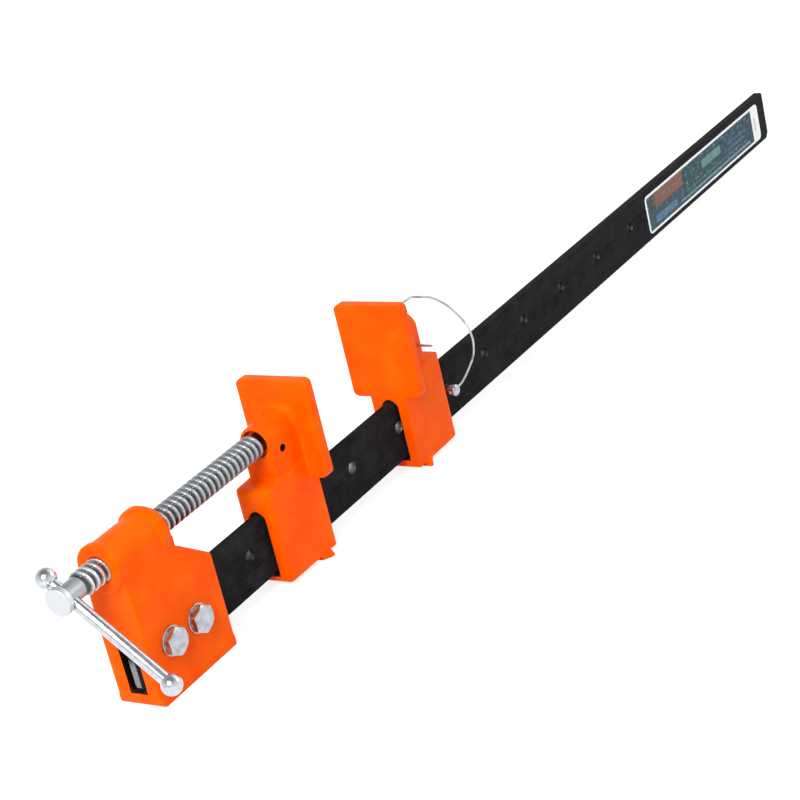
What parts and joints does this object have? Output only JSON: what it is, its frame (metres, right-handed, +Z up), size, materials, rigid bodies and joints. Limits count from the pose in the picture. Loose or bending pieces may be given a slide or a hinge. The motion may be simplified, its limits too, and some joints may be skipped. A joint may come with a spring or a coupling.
{
  "type": "screw sash clamp",
  "caption": "Screw sash clamp on a drilled flat bar: cast head with a tommy-bar screw, sliding front jaw, and a tail jaw held by a pull-out pin.",
  "frame": {"origin": "on the bench, under the middle of the head's base", "axes": "+X along the bar from the head to the tail jaw, +Z up, +Y towards the side with the nuts"},
  "size_m": [0.942, 0.0916, 0.12],
  "materials": {
    "black_steel": "black baked enamel on rolled steel",
    "orange_casting": "gloss orange enamel on sand-cast iron",
    "zinc_steel": "bright zinc plate",
    "chrome_steel": "polished chrome plate",
    "screw_steel": "machined steel, lightly oiled",
    "spring_steel": "drawn spring wire",
    "label_film": "printed film without lettering"
  },
  "bodies": {
    "frame": {"bar": "black_steel", "head_casting": "orange_casting", "head_bolt_front": "zinc_steel", "head_bolt_rear": "zinc_steel", "head_washer_front": "zinc_steel", "head_washer_rear": "zinc_steel", "nut_washer_front": "zinc_steel", "nut_washer_rear": "zinc_steel", "head_nut_front": "zinc_steel", "head_nut_rear": "zinc_steel", "label": "label_film"},
    "front_jaw": {"front_jaw": "orange_casting", "jaw_retainer_pin": "spring_steel"},
    "screw": {"screw": "screw_steel"},
    "tommy": {"tommy_bar": "chrome_steel", "tommy_ball_upper": "chrome_steel", "tommy_ball_lower": "chrome_steel"},
    "tail_jaw": {"tail_jaw": "orange_casting", "keeper_wire": "spring_steel"},
    "pin": {"lock_pin": "zinc_steel"}
  },
  "joints": [
    {"name": "jaw_travel", "type": "slide", "parent": "frame", "child": "front_jaw", "axis": [1, 0, 0], "range_m": [-0.061, 0.0125]},
    {"name": "screw_turn", "type": "hinge", "parent": "front_jaw", "child": "screw", "pos_m": [0, 0, 0.09], "axis": [1, 0, 0], "range_deg": [-4320, 864]},
    {"name": "tommy_slide", "type": "slide", "parent": "screw", "child": "tommy", "axis": [0, 0.7547, 0.6561], "range_m": [0, 0.061]},
    {"name": "tail_travel", "type": "slide", "parent": "frame", "child": "tail_jaw", "axis": [1, 0, 0], "range_m": [-0.04, 0.0022], "deforming": ["keeper_wire"]},
    {"name": "pin_pull", "type": "slide", "parent": "frame", "child": "pin", "axis": [0, -1, 0], "range_m": [0, 0.021]}
  ],
  "couplings": [
    {"joint": "jaw_travel", "follows": "screw_turn", "m_per_rad": 0.00079577}
  ]
}
